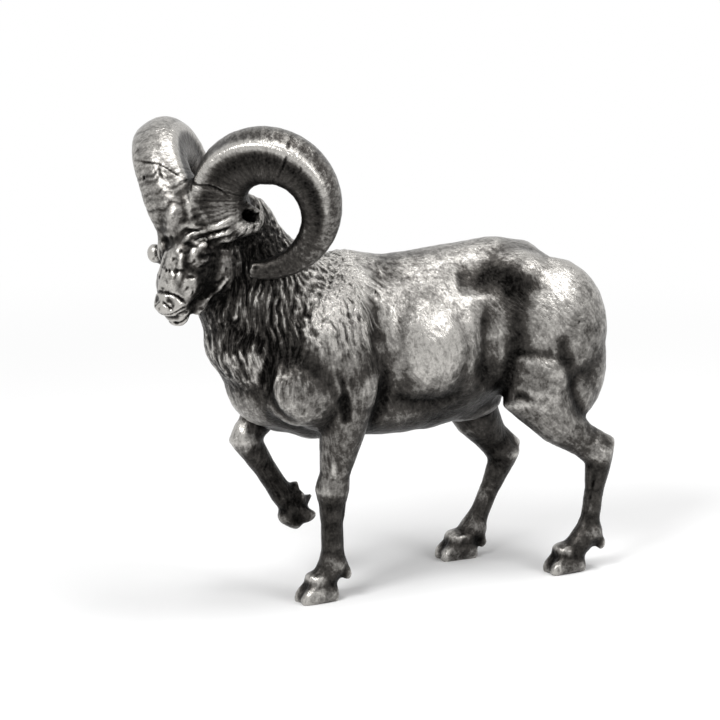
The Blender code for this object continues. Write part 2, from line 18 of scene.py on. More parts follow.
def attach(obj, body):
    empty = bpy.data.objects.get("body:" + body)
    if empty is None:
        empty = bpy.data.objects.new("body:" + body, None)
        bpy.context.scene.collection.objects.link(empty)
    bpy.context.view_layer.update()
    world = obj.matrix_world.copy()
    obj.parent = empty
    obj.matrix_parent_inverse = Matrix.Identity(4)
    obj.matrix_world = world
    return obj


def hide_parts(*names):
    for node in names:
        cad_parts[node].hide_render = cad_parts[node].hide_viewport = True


bl_info = {
    "name": "Cast ram",
    "version": (1, 0, 0),
    "blender": (4, 5, 0),
    "location": "3D View > Sidebar > Ram",
    "description": "Sculpts a cast metal ram over its packed solid, with its patina and its stage",
    "category": "Object",
}

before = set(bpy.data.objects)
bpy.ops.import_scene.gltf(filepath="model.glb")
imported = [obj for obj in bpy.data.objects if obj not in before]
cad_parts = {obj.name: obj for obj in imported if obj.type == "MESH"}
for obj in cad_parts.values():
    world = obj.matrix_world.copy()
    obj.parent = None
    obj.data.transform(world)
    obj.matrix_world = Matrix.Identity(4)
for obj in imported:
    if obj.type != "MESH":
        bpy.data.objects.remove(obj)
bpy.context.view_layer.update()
CAD_NODE = "ram"

MM = 0.001

# The sculptor's grid in the frame: the body's points are given from here, in millimetres
DATUM = Vector((-6.26, -2.17, 0.0)) * MM

# Head
HEAD_YAW = math.radians(24.4)
HEAD_PITCH = math.radians(65.0)
FOREHEAD = DATUM + Vector((-40.2, -4.0, 79.6)) * MM
UPRIGHT = Vector((0.0, 0.0, 1.0))

# Horns
HORN_OUTER_RADIUS = 15.6 * MM
HORN_BASE_WIDTH = 11.6 * MM
HORN_TIP_WIDTH = 3.4 * MM
HORN_TAPER_START = 0.37
HORN_TAPER_POWER = 1.4
HORN_FLARE = 2.4 * MM
HORN_FLARE_END = 0.13
HORN_THICKNESS_SHARE = 0.84
HORN_EXTRA_THICKNESS = 0.3 * MM
HORN_SQUARE = 2.6

# The middle and the radii of the blunt knob at the right horn's tip
TIP_KNOB = (-40.9, 6.8, 74.6)
TIP_KNOB_RADII = (1.7, 1.7, 2.0)

# Growth rings and wrinkles: shares of the curl, and depths in millimetres
RINGS_START = -0.03
RINGS_END = 0.96
HORN_BASE_END = 0.16
RING_DEPTH = 0.12
WRINKLE_DEPTH = 0.04

# The ridge of a keel and the valley beside it, in degrees round the section
KEEL_WIDTH = 13
VALLEY_PLACE = 32
VALLEY_WIDTH = 17
VALLEY_SHARE = 0.30

# Smoothing
MERGE_DISTANCE = 0.01 * MM
OWN_SHARE = 0.3
NEIGHBOUR_SHARE = 0.7
SHRINK_FACTOR = 0.6
SWELL_FACTOR = -0.62
RELAXING_ROUNDS = 10
SOFTENING_ROUNDS = 60
SOFTENING_FACTOR = 0.7

# Shelter: how far above the skin its rays start, how much they lean outward, how many measured points
# share in each value, and the rounds of averaging
RAY_LIFT = 0.3
RAY_LEAN = 1.05
SHELTER_NEAREST = 3
SHELTER_ROUNDS = 60

# The coat: its strands fan out from a point above the head, and widen over the crest between two heights
COAT_SOURCE = (-22.0, 0.0, 118.0)
STRAND_FAN = 50
STRAND_STRETCH = 0.2
CREST_LOW = 76 * MM
CREST_HIGH = 85 * MM
SHORT_COAT = 0.22
LEAST_COAT_GRAIN = 0.35

# The grain of the horns: millimetres along the curl, and millimetres for each degree round the section
HORN_GRAIN_LENGTH = 66
HORN_GRAIN_GIRTH = 0.035

# Noises of the skin: lumps per millimetre, and a shift that keeps the noises apart
BROAD_SWAY_NOISE = (0.14, 7.7)
NARROW_SWAY_NOISE = (0.33, 4.9)
TUFT_NOISE = (0.7, 3.1)
FINE_TUFT_NOISE = (1.15, 8.7)
LUMP_NOISE = (0.20, 1.3)
DENT_NOISE = (0.55, 5.9)
GRAIN_NOISE = (1.2, 2.2)
PIT_NOISE = (0.8, 6.6)

# Relief of the skin, in millimetres
TUFTS = 0.19
FINE_TUFTS = 0.13
LUMPS = 0.12
DENTS = 0.05
GRAIN = 0.03
FACE_PITS = 0.5

# Rounds of averaging for the three scales of hollows; then how much each of them darkens the patina, how
# much painted shade is laid where the body shelters the skin, and how much painted light brightens the skin
# that faces up
HOLLOW_ROUNDS = (3, 24, 110)
FINE_HOLLOWS = 2.4
MIDDLE_HOLLOWS = 0.35
BROAD_HOLLOWS = 0.10
PAINTED_SHELTER_SHADE = 0.6
PAINTED_TOP_LIGHT = 0.06

# How much darker the legs are than the trunk, and the right foreleg than the others
LEG_DARKNESS = 0.75
RIGHT_FORELEG_DARKNESS = 0.25

# How much brighter the keels are than the rest of the horn: partly rubbed wear, partly a painted highlight
KEEL_WEAR_AND_PAINTED_HIGHLIGHT = 0.65

# Noises of the patina: the scale per metre, the detail and the roughness; then how strongly each shows
STAIN_NOISE = (420.0, 5.0, 0.62)
SPECK_NOISE = (1700.0, 3.0, 0.6)
HAIR_NOISE = (2300.0, 3.0, 0.65)
HAMMERED_NOISE = (900.0, 4.0, 0.6)
STAINS = 0.14
SPECKS = 0.5
HAIRS = 1.5

# The patina's bumps: the strength and the height
HAMMERED_BUMP = (0.45, 0.15 * MM)
HAIR_BUMP = (0.9, 0.5 * MM)

# Stage: the lamps' places and sizes, where they point, the camera on the sculptor's grid, and where the
# floor fades into the room
LAMPS = {
    "key": ((-0.45, -0.25, 0.52), 0.24),
    "top": ((0.10, -0.06, 0.62), 0.24),
    "fill": ((0.36, -0.46, 0.38), 0.28),
}
LAMP_TARGET = (0.0, 0.0, 0.05)
CAMERA_PLACE = (-253.31, -547.51, 188.97)
CAMERA_AIM = (2.0, 0.0, 49.5)
FADE_START = 0.08
FADE_END = 0.35

SEED = 7


def head_axes():
    """The head's own directions: along the face to the nose, to its left, and out of the forehead."""
    along = Vector(
        (
            -math.cos(HEAD_PITCH) * math.cos(HEAD_YAW),
            -math.cos(HEAD_PITCH) * math.sin(HEAD_YAW),
            -math.sin(HEAD_PITCH),
        )
    )
    left = Vector((math.sin(HEAD_YAW), -math.cos(HEAD_YAW), 0.0))
    return along, left, along.cross(left)


ALONG, LEFT, OUT = head_axes()
AHEAD = LEFT.cross(UPRIGHT)


def on_body(x, y, z):
    """A place on the body, in millimetres on the sculptor's grid."""
    return DATUM + Vector((x, y, z)) * MM


def on_head(along, left, out):
    """A place on the head, in millimetres along its own directions from the middle of the forehead."""
    return FOREHEAD + (ALONG * along + LEFT * left + OUT * out) * MM


def smooth_step(low, high, values):
    """0 below low, 1 above high, and an even slope between them."""
    share = np.clip((values - low) / (high - low), 0.0, 1.0)
    return share * share * (3 - 2 * share)


def along_path(stops, spacing=0.3 * MM):
    """Points closely spaced along a smooth path through the stops."""
    stops = [stops[0], *stops, stops[-1]]
    path = []
    for before, start, end, after in zip(stops, stops[1:], stops[2:], stops[3:]):
        steps = max(2, math.ceil((end - start).length / spacing))
        for step in range(steps):
            t = step / steps
            bend = 2 * start - 5 * start * t * t + 3 * start * t ** 3 + (end - before) * t
            bend += (2 * before + 4 * end - after) * t * t + (after - before - 3 * end) * t ** 3
            path.append(bend / 2)
    return np.array(path)


class Skin:
    """The casting's skin as arrays of points and normals while it is being sculpted."""

    def __init__(self, mesh):
        self.mesh = mesh
        self.count = len(mesh.vertices)
        ends = np.empty(len(mesh.edges) * 2, dtype=np.int32)
        mesh.edges.foreach_get("vertices", ends)
        self.first, self.second = ends.reshape(-1, 2).T
        self.valence = np.bincount(ends, minlength=self.count)
        places = np.empty(self.count * 3)
        mesh.vertices.foreach_get("co", places)
        self.places = places.reshape(-1, 3)
        self.update()

    def update(self):
        """Hands the points to the mesh and reads its new normals."""
        self.mesh.vertices.foreach_set("co", self.places.ravel())
        self.mesh.update()
        normals = np.empty(self.count * 3, dtype=np.float32)
        self.mesh.vertex_normals.foreach_get("vector", normals)
        self.normals = normals.reshape(-1, 3).astype(float)

    def averaged(self, values):
        """Each point's value as the mean of its neighbours'."""
        total = np.bincount(self.first, values[self.second], self.count)
        total += np.bincount(self.second, values[self.first], self.count)
        return total / self.valence

    def averaged_places(self, places):
        """Each point's place as the mean of its neighbours'."""
        return np.stack([self.averaged(places[:, axis]) for axis in range(3)], axis=1)

    def relax(self, rounds):
        """Smooths the skin without shrinking it."""
        for factor in (SHRINK_FACTOR, SWELL_FACTOR) * rounds:
            self.places += factor * (self.averaged_places(self.places) - self.places)
        self.update()

    def push(self, amounts):
        """Moves the points along their normals, by amounts in millimetres: out where they are positive."""
        self.places += self.normals * (amounts * MM)[:, None]
        self.update()

    def stroke(self, stops, width, depth, amounts):
        """Adds to amounts a groove of a width and depth along a path; a negative depth gives a ridge."""
        path = along_path(stops)
        width = width * MM
        low, high = path.min(axis=0) - width, path.max(axis=0) + width
        near = np.flatnonzero(np.all((self.places > low) & (self.places < high), axis=1))
        if not len(near):
            return
        gaps = np.linalg.norm(self.places[near][:, None, :] - path[None, :, :], axis=2)
        index = gaps.argmin(axis=1)
        gap = gaps[np.arange(len(near)), index]
        ends = np.minimum(1.0, 4 * np.minimum(index + 1, len(path) - index) / len(path))
        fall = (1 - np.clip(gap / width, 0, 1) ** 2) ** 2
        amounts[near] -= depth * fall * ends


def merged(node):
    """The node's own triangles, merged at their shared corners."""
    bm = bmesh.new()
    bm.from_mesh(node.data)
    bmesh.ops.remove_doubles(bm, verts=bm.verts, dist=MERGE_DISTANCE)
    return bm


def merged_copy(node):
    """A new mesh of the node, with the blunt knob at the right horn's tip."""
    bm = merged(node)
    radii = [radius * MM for radius in TIP_KNOB_RADII]
    knob = Matrix.Translation(on_body(*TIP_KNOB)) @ Matrix.Diagonal((*radii, 1.0))
    bmesh.ops.create_icosphere(bm, subdivisions=3, radius=1.0, matrix=knob)
    mesh = bpy.data.meshes.new("ram_casting")
    bm.to_mesh(mesh)
    bm.free()
    return mesh


def with_modifier(obj, kind, **settings):
    """Applies one modifier to the object."""
    modifier = obj.modifiers.new("shape", kind)
    for name, value in settings.items():
        setattr(modifier, name, value)
    graph = bpy.context.evaluated_depsgraph_get()
    obj.data = bpy.data.meshes.new_from_object(obj.evaluated_get(graph))
    obj.modifiers.clear()


class Horn:
    """How one horn is set on the head, and coordinates along its curl and round its section."""

    def __init__(self, side, pitch, swing, lean, start, end, setback, rise, spread):
        swing, lean = math.radians(swing), math.radians(lean)
        outward = LEFT * side * math.cos(swing) + AHEAD * math.sin(swing)
        normal = outward * math.cos(lean) - UPRIGHT * math.sin(lean)
        back = UPRIGHT.cross(normal).normalized() * side
        centre = FOREHEAD + (LEFT * side * spread + UPRIGHT * rise - AHEAD * setback) * MM
        self.centre, self.normal, self.back = np.array(centre), np.array(normal), np.array(back)
        self.upward = np.array(normal.cross(back) * side)
        self.pitch, self.start, self.end = pitch * MM, start, end

    def section(self, share):
        """The width, thickness, radius of the curl and drift to the side, at a share of the curl."""
        flare = HORN_FLARE * np.clip(1 - share / HORN_FLARE_END, 0, None)
        taper = np.clip((share - HORN_TAPER_START) / (1 - HORN_TAPER_START), 0, 1)
        width = HORN_BASE_WIDTH + (HORN_TIP_WIDTH - HORN_BASE_WIDTH) * taper ** HORN_TAPER_POWER + flare
        thick = HORN_THICKNESS_SHARE * width + HORN_EXTRA_THICKNESS
        return width, thick, HORN_OUTER_RADIUS + flare - width / 2, self.pitch * (share - 0.5)

    def locate(self, places):
        """Each point's share of the curl, angle round the section and share of the girth."""
        local = places - self.centre
        level, rise, out = local @ self.back, local @ self.upward, local @ self.normal
        angle = np.degrees(np.arctan2(rise, level))
        angle = np.where(angle < (self.start - 360 + self.end) / 2, angle + 360, angle)
        share = (self.start - angle) / (self.start - self.end)
        width, thick, radius, drift = self.section(share)
        u = (np.hypot(level, rise) - radius) / (width / 2)
        v = (out - drift) / (thick / 2)
        girth = (np.abs(u) ** HORN_SQUARE + np.abs(v) ** HORN_SQUARE) ** (1 / HORN_SQUARE)
        return share, np.degrees(np.arctan2(v, u)), girth

    def spot(self, share, around):
        """The place on the horn's surface at a share of the curl and an angle round the section."""
        width, thick, radius, drift = self.section(share)
        turn, around = math.radians(self.start + (self.end - self.start) * share), math.radians(around)
        u, v = math.cos(around), math.sin(around)
        full = (abs(u) ** HORN_SQUARE + abs(v) ** HORN_SQUARE) ** (-1 / HORN_SQUARE)
        spoke = self.back * math.cos(turn) + self.upward * math.sin(turn)
        outward, aside = radius + u * full * width / 2, drift + v * full * thick / 2
        return Vector(self.centre + spoke * outward + self.normal * aside)

    def cover(self, places):
        """1 on the horn and 0 off it, with the place's share of the curl and angle round the section."""
        share, around, girth = self.locate(places)
        weight = 1 - smooth_step(1.12, 1.3, girth)
        weight *= smooth_step(-0.07, -0.03, share) * (1 - smooth_step(0.98, 1.04, share))
        return weight, share, around


LEFT_HORN = Horn(1, 5.0, 56.6, 9.7, 206.0, -104.0, 12.2, 7.1, 12.9)
RIGHT_HORN = Horn(-1, 9.4, 20.0, 23.3, 206.0, -127.0, 12.7, 6.5, 12.6)

# The keels along each horn: the angle round the section at the base and at the tip, and the height.
# The last number is how dull the horn is.
KEELS = (
    (LEFT_HORN, ((42, 84, 0.80), (-62, -50, 0.30)), 0.40),
    (RIGHT_HORN, ((-64, -84, 0.40), (48, 40, 0.25)), 0.05),
)

# Cracks and pits: the horn, the width and depth, and places as the share of the curl and the angle round it
CRACKS = (
    (LEFT_HORN, 0.42, 0.42, ((0.126, 10), (0.142, 47), (0.152, 69), (0.154, 92), (0.132, 119))),
    (LEFT_HORN, 0.45, 0.28, ((0.443, 3), (0.448, 50), (0.455, 75), (0.458, 122))),
    (LEFT_HORN, 0.32, 0.10, ((0.50, 60), (0.515, 84), (0.512, 118))),
    (RIGHT_HORN, 0.36, 0.30, ((0.19, 40), (0.162, -2), (0.150, -26), (0.118, -52), (0.089, -68))),
    (RIGHT_HORN, 0.34, 0.22, ((0.150, -26), (0.130, -20), (0.112, -24))),
    (RIGHT_HORN, 0.50, 0.50, ((0.132, 25), (0.136, 25))),
)


def wavy(values, seed):
    """Smooth noise along one line of values, from -1 to 1."""
    count = 512
    table = np.random.default_rng(seed).uniform(-1, 1, count)
    whole = np.floor(values).astype(int)
    part = values - whole
    part = part * part * (3 - 2 * part)
    return table[whole % count] * (1 - part) + table[(whole + 1) % count] * part


def noise_at(places, scale, offset=0.0):
    """Smooth noise in space, from -1 to 1; places in metres, scale in lumps per millimetre."""
    scaled = places * (scale / MM) + offset
    return np.array([noise.noise(point) for point in scaled.tolist()])


def sculpt_horns(skin):
    """Keels along the corners of the section, growth rings, wrinkles at the base, cracks and pits."""
    amounts = np.zeros(skin.count)
    for index, (horn, keels, _) in enumerate(KEELS):
        weight, share, around = horn.cover(skin.places)
        turn = np.radians(around)
        # The rings lean and waver a little round the section
        warp = 0.012 * np.cos(turn + 0.6) + 0.006 * wavy(turn * 3 + 40, SEED + index)
        turns = share + warp
        rings = np.zeros(skin.count)
        # Each ring has its own depth and width: deep and close at the base, shallower and apart beyond it
        rng = np.random.default_rng(SEED + 3 * index)
        spot = RINGS_START
        while spot < RINGS_END:
            at_base = spot < HORN_BASE_END
            depth = rng.uniform(0.4, 1.0) * (1.0 if at_base else 0.4)
            narrow = rng.uniform(0.0035, 0.006)
            rings -= depth * np.exp(-(((turns - spot) / narrow) ** 2))
            spot += rng.uniform(0.012, 0.03) * (0.9 if at_base else 1.8)
        wrinkles = wavy(turns * 260, SEED + 11) * 0.25 + wavy(turns * 120, SEED + 12) * 0.3
        form = np.zeros(skin.count)
        for base, tip, height in keels:
            beside = around - (base + (tip - base) * np.clip(share, 0, 1))
            ridge = height * np.exp(-((beside / KEEL_WIDTH) ** 2))
            from_valley = (np.abs(beside) - VALLEY_PLACE) / VALLEY_WIDTH
            form += ridge - VALLEY_SHARE * height * np.exp(-(from_valley ** 2))
        early = 1 - smooth_step(0.5, 0.85, share)
        amounts += weight * (RING_DEPTH * rings + WRINKLE_DEPTH * wrinkles + form * early)
    for horn, width, depth, stops in CRACKS:
        skin.stroke([horn.spot(share, around) for share, around in stops], width, depth, amounts)
    skin.push(amounts)


# Places where the skin is smoothed before it is sculpted, on both sides of the body: x, y, z and radius
SOFTENED = (
    (29, 10, 67, 5.5),
    (0, 12, 62, 4.5),
    (2, 12, 54, 4.5),
    (12, 12, 43, 5),
)


def soften(skin, rounds):
    """Smooths the skin round the places that are listed."""
    grid = (skin.places - np.array(DATUM)) / MM
    grid[:, 1] = np.abs(grid[:, 1])
    weight = np.zeros(skin.count)
    for x, y, z, radius in SOFTENED:
        gap = np.linalg.norm(grid - (x, y, z), axis=1)
        weight = np.maximum(weight, np.exp(-((gap / radius) ** 2)))
    for _ in range(rounds):
        step = skin.averaged_places(skin.places) - skin.places
        skin.places += SOFTENING_FACTOR * weight[:, None] * step
    skin.update()


# Grooves and ridges on both sides of the body: the width, the depth and the stops.
# A negative depth gives a ridge.
BODY_STROKES = (
    # Behind the shoulder, then its front and the upper foreleg
    (1.4, 0.25, ((2.4, 12, 50), (1.8, 11, 43), (0.4, 9, 38))),
    (1.4, 0.3, ((-20.6, 9.4, 58), (-23, 9, 51), (-22, 10, 44.6), (-17, 11.4, 39.8))),
    (1.2, 0.3, ((-9.4, 14, 51), (-8, 13.4, 47), (-7, 13.2, 43), (-7, 12.6, 39.2))),
    # The front of the thigh
    (1.6, 0.25, ((26, 10, 62.4), (25.6, 11.4, 56), (25.8, 11.4, 49), (27, 10.6, 43))),
    # The edge of the flank, and the fold before the hind leg
    (1.4, 0.2, ((4, 11.6, 43.8), (9, 11.6, 42.2), (15.4, 11.6, 41.8), (21, 11.4, 43.6))),
    (1.4, 0.12, ((33.4, 11.4, 41.6), (37, 12.4, 39.8), (40, 12.8, 40.4))),
    # The shins
    (1.0, -0.3, ((-8.8, 9.6, 34), (-8.6, 10, 30), (-8.9, 9.8, 27))),
    (0.8, 0.3, ((-6.6, 9.6, 36), (-6.4, 9.8, 31), (-6.6, 9.2, 27))),
    (0.8, 0.3, ((-5.6, 8.6, 21), (-5.4, 8.4, 16), (-5.6, 8.2, 11))),
    (0.8, 0.3, ((52.4, 11.6, 22), (51.6, 11.4, 17), (50.6, 11.2, 12))),
)

# The same on both sides of the head, in its own directions
HEAD_STROKES = (
    # Folds of the brow, from the middle of the forehead out over the eye
    (
        0.7,
        -0.6,
        ((-2.4, 2.0, 0.8), (-2.9, 3.4, -1.2), (-4.0, 5.6, -2.7), (-5.5, 7.9, -3.7), (-6.7, 9.0, -4.5)),
    ),
    (
        0.45,
        0.4,
        ((-1.6, 2.1, 0.5), (-2.3, 3.3, -1.1), (-3.4, 5.0, -2.5), (-4.8, 7.2, -3.5), (-6.1, 8.7, -4.5)),
    ),
    (
        0.8,
        -0.8,
        ((-0.7, 2.2, 0.2), (-1.7, 3.3, -0.9), (-2.7, 4.4, -2.3), (-4.1, 6.6, -3.3), (-5.5, 8.4, -4.4)),
    ),
    (
        0.45,
        0.45,
        ((-0.4, 3.6, -0.8), (-1.4, 4.4, -2.2), (-2.5, 5.4, -3.4), (-3.7, 7.0, -4.2), (-4.9, 8.4, -5.1)),
    ),
    (
        0.8,
        -0.85,
        ((0.0, 4.2, -1.3), (-1.1, 4.9, -2.8), (-2.0, 5.4, -3.8), (-3.1, 7.0, -4.6), (-4.3, 8.4, -5.7)),
    ),
    # The upper lid, the eye and the lower lid
    (0.8, 0.3, ((0.8, 2.6, -0.2), (0.8, 4.9, -0.9), (-0.5, 5.5, -3.8), (-2.4, 7.4, -5.4))),
    (0.5, 0.3, ((2.1, 4.7, -0.8), (2.1, 5.5, -2.7), (1.2, 5.8, -5.0))),
    (0.6, -0.25, ((3.1, 4.8, -1.2), (3.2, 5.4, -2.9), (2.4, 5.8, -4.8))),
    (0.45, 0.3, ((4.1, 4.4, -1.8), (4.4, 5.2, -3.2), (3.7, 5.9, -4.8))),
    # The hollow of the cheek, the bridge of the nose and the dip in its middle
    (0.9, 0.45, ((5.0, 3.6, -2.6), (7.6, 3.9, -3.6), (10.4, 3.8, -4.4))),
    (0.9, -0.3, ((2.6, 2.0, 0.0), (6.2, 2.6, -0.5), (9.3, 2.7, -1.1))),
    (0.5, 0.35, ((6.9, -0.4, 0.2), (7.1, -0.4, 0.2))),
    # The top of the nose and the nostril
    (0.5, 0.45, ((11.5, 0.0, -0.2), (11.3, 1.6, -0.6), (11.5, 3.0, -1.8), (12.2, 3.8, -3.4))),
    (0.4, 0.45, ((13.3, 0.5, -0.5), (13.8, 1.6, -1.0), (14.5, 2.6, -1.9))),
    # The mouth, the lower lip and the chin
    (0.45, 0.5, ((15.3, 0.0, -2.3), (15.3, 1.6, -2.5), (14.1, 3.3, -3.0), (12.4, 3.5, -4.6))),
    (0.6, -0.3, ((16.0, 0.0, -3.6), (15.8, 1.8, -3.8), (14.2, 3.2, -4.6))),
    (0.45, 0.4, ((16.6, 0.0, -5.2), (16.0, 1.8, -5.8), (13.8, 2.8, -6.8))),
    # The jaw, and the hollow above it
    (0.9, -0.4, ((9.9, 4.0, -9.1), (7.9, 4.5, -10.1), (6.2, 6.1, -9.8), (4.2, 7.0, -9.8))),
    (0.7, 0.4, ((10.0, 3.8, -7.4), (8.0, 4.6, -8.2), (6.0, 5.8, -8.2))),
)

# The middle of the ear's opening on the head, and the radius, width and depth of its rim and of its hollow
EAR_PLACE = (-8.6, 9.9, -8.0)
EAR_RIM_RADIUS = 2.4 * MM
EAR_RIM = (0.5, -0.5)
EAR_HOLLOW_REACH = 0.7
EAR_HOLLOW = (1.9, 2.0)


def sculpt_body(skin):
    """The borders of the muscles, the edge of the flank, the fold before the hind leg and the shins."""
    amounts = np.zeros(skin.count)
    for side in (-1, 1):
        for width, depth, stops in BODY_STROKES:
            skin.stroke([on_body(x, side * y, z) for x, y, z in stops], width, depth, amounts)
    skin.push(amounts)


def sculpt_ear(skin, side, amounts):
    """The rim and the hollow of one ear."""
    along, left, out = EAR_PLACE
    ear = np.array(on_head(along, side * left, out))
    level, rise = np.array(LEFT) * side * 0.8 - np.array(AHEAD) * 0.6, np.array(UPRIGHT)
    turns = np.linspace(0, 2 * math.pi, 13)
    ring = [Vector(ear + EAR_RIM_RADIUS * (level * math.cos(t) + rise * math.sin(t))) for t in turns]
    skin.stroke(ring, *EAR_RIM, amounts)
    across = level * EAR_HOLLOW_REACH * MM
    skin.stroke([Vector(ear - across), Vector(ear + across)], *EAR_HOLLOW, amounts)


def sculpt_head(skin):
    """The folds, eyes, nostrils, mouth, jaw and ears."""
    amounts = np.zeros(skin.count)
    for side in (-1, 1):
        for width, depth, stops in HEAD_STROKES:
            path = [on_head(along, side * left, out) for along, left, out in stops]
            skin.stroke(path, width, depth, amounts)
        sculpt_ear(skin, side, amounts)
    skin.push(amounts)


def coat_places(places):
    """Coordinates that run along the coat: wavy strands fan down and back from a point above the head."""
    source = np.array(on_body(*COAT_SOURCE))
    across = places[:, 0] - source[0]
    down = source[2] - places[:, 2]
    reach = np.hypot(across, down)
    turn = np.arctan2(across, down)
    crest = smooth_step(CREST_LOW, CREST_HIGH, places[:, 2])
    sway = 1.3 * noise_at(places, *BROAD_SWAY_NOISE) + 0.5 * noise_at(places, *NARROW_SWAY_NOISE)
    sway = sway * MM
    fan = turn * STRAND_FAN * MM + sway
    return np.stack([fan, places[:, 1] * (1 - 0.6 * crest), reach * STRAND_STRETCH], axis=1)


def coat_cover(places):
    """Where the coat is long: the neck, the breast and the shoulder."""
    grid = (places - np.array(DATUM)) / MM
    x, z = grid[:, 0], grid[:, 2]
    back = smooth_step(8, -3, x + 0.15 * (z - 50))
    low = smooth_step(42, 52, z) * (1 - 0.75 * smooth_step(-24, -19, x) * (1 - smooth_step(52, 60, z)))
    front = smooth_step(-44, -34, x + 0.9 * (z - 72) * (z > 72))
    return back * low * front


def bare_cover(places):
    """Where the head's skin is bare: from the brow down to the muzzle and the jaw."""
    from_brow = (places - np.array(FOREHEAD)) / MM
    along, out = from_brow @ np.array(ALONG), from_brow @ np.array(OUT)
    return smooth_step(-3, 1, along) * smooth_step(-13, -10, out)


def horn_cover_of(places):
    """1 on either horn and 0 off them."""
    return np.maximum(LEFT_HORN.cover(places)[0], RIGHT_HORN.cover(places)[0])


def grain_places(places):
    """Coordinates for the fine grain: along the coat on the body, and round the section on the horns."""
    grain = coat_places(places) * (1.0, 1.0, 0.6)
    for index, horn in enumerate((LEFT_HORN, RIGHT_HORN)):
        weight, share, around = horn.cover(places)
        on_horn = weight > 0.5
        along, girth = share * HORN_GRAIN_LENGTH * MM, around * HORN_GRAIN_GIRTH * MM
        apart = share * 0 + (index + 1) * 0.3
        grain[on_horn] = np.stack([along, girth, apart], axis=1)[on_horn]
    return grain


def sculpt_surface(skin):
    """The coat's tufts, and the uneven hammered skin of an old casting."""
    horn_cover = horn_cover_of(skin.places)
    bare = bare_cover(skin.places)
    coat = coat_cover(skin.places) * (1 - horn_cover) * (1 - bare)
    strands = coat_places(skin.places)
    ridged = 1 - 2 * np.abs(noise_at(strands, *TUFT_NOISE))
    finer = noise_at(strands, *FINE_TUFT_NOISE)
    lumps = noise_at(skin.places, *LUMP_NOISE)
    dents = noise_at(skin.places, *DENT_NOISE)
    grain = noise_at(skin.places, *GRAIN_NOISE)
    haired = coat + SHORT_COAT * (1 - coat) * (1 - horn_cover) * (1 - bare)
    amounts = haired * (TUFTS * ridged + FINE_TUFTS * finer)
    plain = 1 - 0.65 * horn_cover
    amounts += plain * (LUMPS * lumps + DENTS * dents * (1 - 0.4 * coat) + GRAIN * grain)
    amounts -= FACE_PITS * bare * np.clip(noise_at(skin.places, *PIT_NOISE) - 0.25, 0, 1)
    # The soles stay flat
    above_ground = smooth_step(0.0, 1.5 * MM, skin.places[:, 2])
    skin.push(amounts * above_ground)


def shelter(node, skin, rays=40, reach=22 * MM):
    """How far the body shelters each point from outside, from 0 in the open to 1 in a deep hollow."""
    bm = merged(node)
    tree = BVHTree.FromBMesh(bm)
    rng = np.random.default_rng(SEED)
    directions = rng.normal(size=(rays, 3))
    directions /= np.linalg.norm(directions, axis=1)[:, None]
    directions = [Vector(direction) for direction in directions]
    lookup = KDTree(len(bm.verts))
    hidden = []
    for index, vert in enumerate(bm.verts):
        start = vert.co + vert.normal * RAY_LIFT * MM
        total = 0.0
        for direction in directions:
            toward = (direction + vert.normal * RAY_LEAN).normalized()
            distance = tree.ray_cast(start, toward, reach)[3]
            if distance is not None:
                total += 1 - distance / reach
        hidden.append(total / rays)
        lookup.insert(vert.co, index)
    lookup.balance()
    bm.free()
    values = np.empty(skin.count)
    for index, place in enumerate(skin.places.tolist()):
        found = lookup.find_n(place, SHELTER_NEAREST)
        weights = [1 / (distance + 0.05 * MM) for _, _, distance in found]
        shared = sum(hidden[near] * weight for (_, near, _), weight in zip(found, weights))
        values[index] = shared / sum(weights)
    for _ in range(SHELTER_ROUNDS):
        values = OWN_SHARE * values + NEIGHBOUR_SHARE * skin.averaged(values)
    return values


def hollow_at(skin, rounds):
    """How many millimetres the skin lies below its surroundings, at a scale set by rounds of averaging."""
    smoothed = skin.places
    for _ in range(rounds):
        smoothed = OWN_SHARE * smoothed + NEIGHBOUR_SHARE * skin.averaged_places(smoothed)
    return np.einsum("ij,ij->i", smoothed - skin.places, skin.normals) / MM
